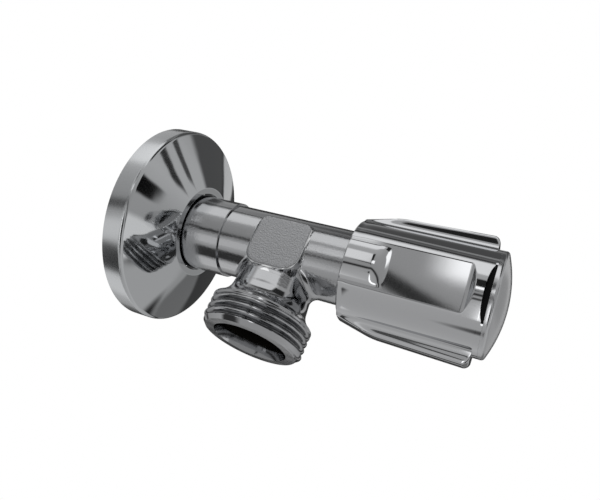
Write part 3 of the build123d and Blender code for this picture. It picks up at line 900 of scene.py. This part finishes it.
bodyChrome = chromedForging(forgingLook, bodySizes)
rosetteChrome = mirrorChrome("chrome_on_pressed_steel", "#cfd1d3", 11.0, 0.04, (0.03, 0.07),
                             rim=rosetteHigh.y - rosetteSizes["rimShine"])
handleChrome = mirrorChrome("chrome_on_cast_zinc", "#cfd0d2", 4.0, 0.002, (0.04, 0.07),
                            cut=(handleHigh.x - handleSizes["slotLength"] - handleSizes["wallRun"] / 2,
                                 handleSizes["radius"] - handleSizes["wallRun"] / 2))
capChrome = mirrorChrome("chrome_on_turned_brass", "#cfd0d2", 5.0, 0.003, (0.14, 0.20))
slotMaterials = {
    "body_chrome": bodyChrome,
    "rosette_chrome": rosetteChrome,
    "handle_chrome": handleChrome,
    "headwork_brass": turnedMetal("turned_brass", ("#d9b467", "#c89b4a"), (0.18, 0.34)),
    "spring_steel": turnedMetal("blued_spring_steel", ("#6a6c72", "#565a62"), (0.25, 0.40)),
    "screw_steel": turnedMetal("zinc_plated_steel", ("#b9bcc0", "#a8acb4"), (0.22, 0.36)),
    "seal_rubber": mouldedSoft("nitrile_rubber", ("#17181a", "#232427"), (0.45, 0.65), 0.25, 0.01, 1.52),
    "gasket_fibre": mouldedSoft("vulcanised_fibre", ("#7d3a2c", "#94513c"), (0.6, 0.8), 0.2, 0.02, 1.5),
    "slip_plastic": mouldedSoft("acetal", ("#e6e4dc", "#dcd9cf"), (0.3, 0.45), 0.4, 0.004, 1.48),
}
print("materials made:", len(bpy.data.materials))


def dressInside():
    # the CAD pieces that stay take the finish of their slot in the record
    for subpart in frame["record"]["subparts"]:
        for slot in frame["nodes"][subpart["node"]].material_slots:
            slot.material = slotMaterials[subpart["material_slot"]]
    print("inside dressed")


makeForgedBody()
makeRosette()
makeHandle()
makeHandleCap()
dressInside()


# camera

cameraSizes = {
    "azimuth": 24.05,
    "elevation": -25.19,
    "roll": 24.70,
    "aim": (41.06, 0, 1.91),
    "distance": 152.9,
    "lens": 34.755,
    "sensor": 36,
    "nearest": 10.0,
}


def makeCamera(s=cameraSizes):
    # looks at the aim from below and in front, rolled as the photo is
    azimuth, elevation, roll = (math.radians(s[key]) for key in ("azimuth", "elevation", "roll"))
    back = Vector((math.sin(azimuth) * math.cos(elevation), -math.cos(azimuth) * math.cos(elevation),
                   math.sin(elevation)))
    right = Vector((math.cos(azimuth), math.sin(azimuth), 0))
    up = back.cross(right)
    turn = Matrix((right * math.cos(roll) + up * math.sin(roll),
                   up * math.cos(roll) - right * math.sin(roll), back)).transposed()
    data = bpy.data.cameras.new("camera")
    data.lens = s["lens"]
    data.sensor_width = s["sensor"]
    data.clip_start = s["nearest"] * mm
    camera = bpy.data.objects.new("camera", data)
    camera.matrix_world = Matrix.Translation((Vector(s["aim"]) + back * s["distance"]) * mm) @ turn.to_4x4()
    scene.collection.objects.link(camera)
    scene.camera = camera


makeCamera()
print("camera set")


# studio: white backdrop, a grey tent with cards that only the metal sees, a pale floor and one soft lamp

studio = {
    "reach": 3000.0,
    "middle": (41.0, 0, 0),
    "nearest": 0.6,
    "fade": 0.35,
    "floorX": 40.0,
    "floorDrop": 200.0,
    "floorRadius": 450.0,
    "lamp": 1.2,
    "lampSize": 500.0,
    "lampReach": 500.0,
    "lampPlace": (-20, 50),
    "fill": 0.9,
    # height in degrees and grey level of the tent, from below to above
    "tent": (
        (-90, 0.46),
        (-64, 0.48),
        (-40, 0.56),
        (-17, 0.42),
        (-14.5, 0.03),
        (-12.5, 0.03),
        (-10, 0.36),
        (10, 0.40),
        (30, 0.52),
        (50, 0.50),
        (62, 0.36),
        (70, 0.14),
        (76, 0.09),
    ),
    # each card's azimuth, height above the horizon, width, tallness and roll in degrees, and grey level
    "cards": (
        (-156, 25, 96, 84, 0, 0.05),
        (-98, 4, 44, 50, 0, 0.04),
        (-40, -14, 34, 10, 0, 0.04),
        (-172, 41, 14, 16, 0, 0.55),
        (-20, 66, 60, 6, 0, 0.05),
        (-20, 78, 60, 6, 0, 0.3),
        (-10, 40, 70, 24, 0, 0.95),
        (5, 1, 28, 7.5, 0, 1.5),
        (-18, 9, 11, 24, 0, 0.95),
        (-5, 11, 20, 19, 0, 0.02),
        (-9, -4.5, 16, 2.2, -18, 0.02),
        (-7, -22.5, 16, 5, 0, 0.08),
        (2, -45, 8, 44, 0, 1.8),
        (-12, 47, 80, 36, 0, 1.0),
        (42, 50, 34, 38, 0, 0.03),
        (-124, -46, 40, 26, 0, 0.8),
        (-80, -56, 34, 30, 0, 0.05),
        (36, -45, 30, 44, 0, 0.02),
        (-42, -36, 40, 22, 0, 0.75),
        (98, -8, 26, 22, 0, 0.75),
        (132, -19, 40, 24, 0, 0.46),
        (166, -2, 28, 22, 0, 0.18),
        (139, 24, 26, 20, 0, 0.34),
        (86, 17, 15, 12, 0, 0.005),
        (95, 38, 5, 16, 25, 0.03),
        (104, 48, 5, 16, 25, 0.06),
        (154, 55, 38, 24, 0, 0.09),
    ),
}


def glowing(name, level):
    # paper that glows evenly: tent and cards give the chrome its soft greys, bright bars and dark bands
    material = bpy.data.materials.new(name)
    material.use_nodes = True
    tree = material.node_tree
    tree.nodes.clear()
    glow = addNode(tree, "ShaderNodeEmission", Strength=1.0, Color=level)
    return material, tree, glow


def onlyForMetal(obj):
    # cards and tent show in reflections, not to the camera, and throw no light or shadow of their own
    obj.visible_camera = obj.visible_diffuse = obj.visible_shadow = obj.visible_transmission = False


def direction(azimuth, height):
    # unit vector; azimuth 0 is the front and height 0 is the horizon, in degrees
    azimuth, height = math.radians(azimuth), math.radians(height)
    level = math.cos(height)
    return Vector((math.sin(azimuth) * level, -math.cos(azimuth) * level, math.sin(height)))


def makeTent(s=studio):
    # sphere round the object, grey by height
    bm = bmesh.new()
    reach = s["reach"] * mm
    bmesh.ops.create_uvsphere(bm, u_segments=64, v_segments=48, radius=reach)
    tent = asObject(asMesh(bm, "tent"))
    tent.location = Vector(s["middle"]) * mm
    material, tree, glow = glowing("tent_paper", (0, 0, 0, 1))
    place = addNode(tree, "ShaderNodeTexCoord").outputs["Object"]
    lift = addNode(tree, "ShaderNodeSeparateXYZ", Vector=place).outputs["Z"]
    share = addNode(tree, "ShaderNodeMapRange", Value=lift, From_Min=-reach, From_Max=reach)
    ramp = addNode(tree, "ShaderNodeValToRGB", Fac=share.outputs[0])
    stops = ramp.color_ramp.elements
    for height, level in s["tent"]:
        stop = stops.new((math.sin(math.radians(height)) + 1) / 2)
        stop.color = (level, level, level, 1)
    stops.remove(stops[-1])
    tree.links.new(ramp.outputs[0], glow.inputs["Color"])
    addNode(tree, "ShaderNodeOutputMaterial", Surface=glow.outputs[0])
    tent.data.materials.append(material)
    onlyForMetal(tent)


def makeCards(s=studio):
    # flat cards round the object, each fading out towards its edges
    for number, (azimuth, height, wide, tall, roll, level) in enumerate(s["cards"]):
        reach = s["reach"] * mm * (s["nearest"] + (1 - s["nearest"]) / (number + 2))
        towards = direction(azimuth, height)
        bm = bmesh.new()
        bmesh.ops.create_grid(bm, x_segments=1, y_segments=1, size=1)
        card = asObject(asMesh(bm, f"card_{number}"))
        size = [reach * math.tan(math.radians(angle / 2)) for angle in (wide, tall)]
        stand = Matrix.Translation(Vector(s["middle"]) * mm + towards * reach)
        facing = towards.to_track_quat("Z", "Y").to_matrix().to_4x4()
        rolled = Matrix.Rotation(math.radians(roll), 4, "Z")
        card.matrix_world = stand @ facing @ rolled @ Matrix.Diagonal((*size, 1, 1))
        material, tree, glow = glowing("card_paper", (level, level, level, 1))
        place = addNode(tree, "ShaderNodeTexCoord").outputs["Object"]
        axes = addNode(tree, "ShaderNodeSeparateXYZ", Vector=place).outputs
        shares = []
        for axis in ("X", "Y"):
            away = addNode(tree, "ShaderNodeMath", {"operation": "ABSOLUTE"}, i0=axes[axis])
            fade = addNode(tree, "ShaderNodeMapRange", {"interpolation_type": "SMOOTHSTEP"},
                           Value=away.outputs[0], From_Min=1 - s["fade"], From_Max=1.0,
                           To_Min=1.0, To_Max=0.0)
            shares.append(fade.outputs[0])
        share = addNode(tree, "ShaderNodeMath", {"operation": "MULTIPLY"}, i0=shares[0], i1=shares[1])
        clear = addNode(tree, "ShaderNodeBsdfTransparent")
        both = addNode(tree, "ShaderNodeMixShader", i0=share.outputs[0], i1=clear.outputs[0],
                       i2=glow.outputs[0])
        addNode(tree, "ShaderNodeOutputMaterial", Surface=both.outputs[0])
        card.data.materials.append(material)
        onlyForMetal(card)


def makeFloor(s=studio):
    # pale paper disc far below that the metal doesn't mirror
    bm = bmesh.new()
    place = Matrix.Translation(Vector((s["floorX"], 0, -s["floorDrop"])) * mm)
    bmesh.ops.create_circle(bm, cap_ends=True, segments=96, radius=s["floorRadius"] * mm, matrix=place)
    floor = asObject(asMesh(bm, "floor"))
    material, tree, grainy, place = newMaterial("pale_paper", (1.5, 1.5, 1.5))
    fibre = addNode(tree, "ShaderNodeTexNoise", Vector=grainy, Scale=1.0, Detail=3.0)
    dressed(tree, fibre.outputs[0], 0.02, Base_Color=hexColour("#eeeeec"), Roughness=0.8)
    floor.data.materials.append(material)
    floor.visible_glossy = False


def makeLamp(s=studio):
    # one large lamp above the front that gives the dull surfaces their shape
    data = bpy.data.lights.new("soft_lamp", "AREA")
    data.size = s["lampSize"] * mm
    data.energy = s["lamp"]
    lamp = bpy.data.objects.new("soft_lamp", data)
    towards = direction(*s["lampPlace"])
    lamp.location = towards * s["lampReach"] * mm
    lamp.rotation_mode = "QUATERNION"
    lamp.rotation_quaternion = towards.to_track_quat("Z", "Y")
    lamp.visible_glossy = False
    scene.collection.objects.link(lamp)


def makeBackdrop(s=studio):
    # plain white for every ray that shows it, and a little less as fill light
    world = bpy.data.worlds.new("studio")
    scene.world = world
    world.use_nodes = True
    tree = world.node_tree
    tree.nodes.clear()
    path = addNode(tree, "ShaderNodeLightPath").outputs
    seen = path["Is Camera Ray"]
    for kind in ("Is Glossy Ray", "Is Transmission Ray"):
        seen = addNode(tree, "ShaderNodeMath", {"operation": "MAXIMUM"}, i0=seen, i1=path[kind]).outputs[0]
    fill = addNode(tree, "ShaderNodeBackground", Color=(1, 1, 1, 1), Strength=s["fill"])
    white = addNode(tree, "ShaderNodeBackground", Color=(1, 1, 1, 1), Strength=1.0)
    both = addNode(tree, "ShaderNodeMixShader", i0=seen, i1=fill.outputs[0], i2=white.outputs[0])
    addNode(tree, "ShaderNodeOutputWorld", Surface=both.outputs[0])


makeTent()
makeCards()
makeFloor()
makeLamp()
makeBackdrop()
print("studio set")
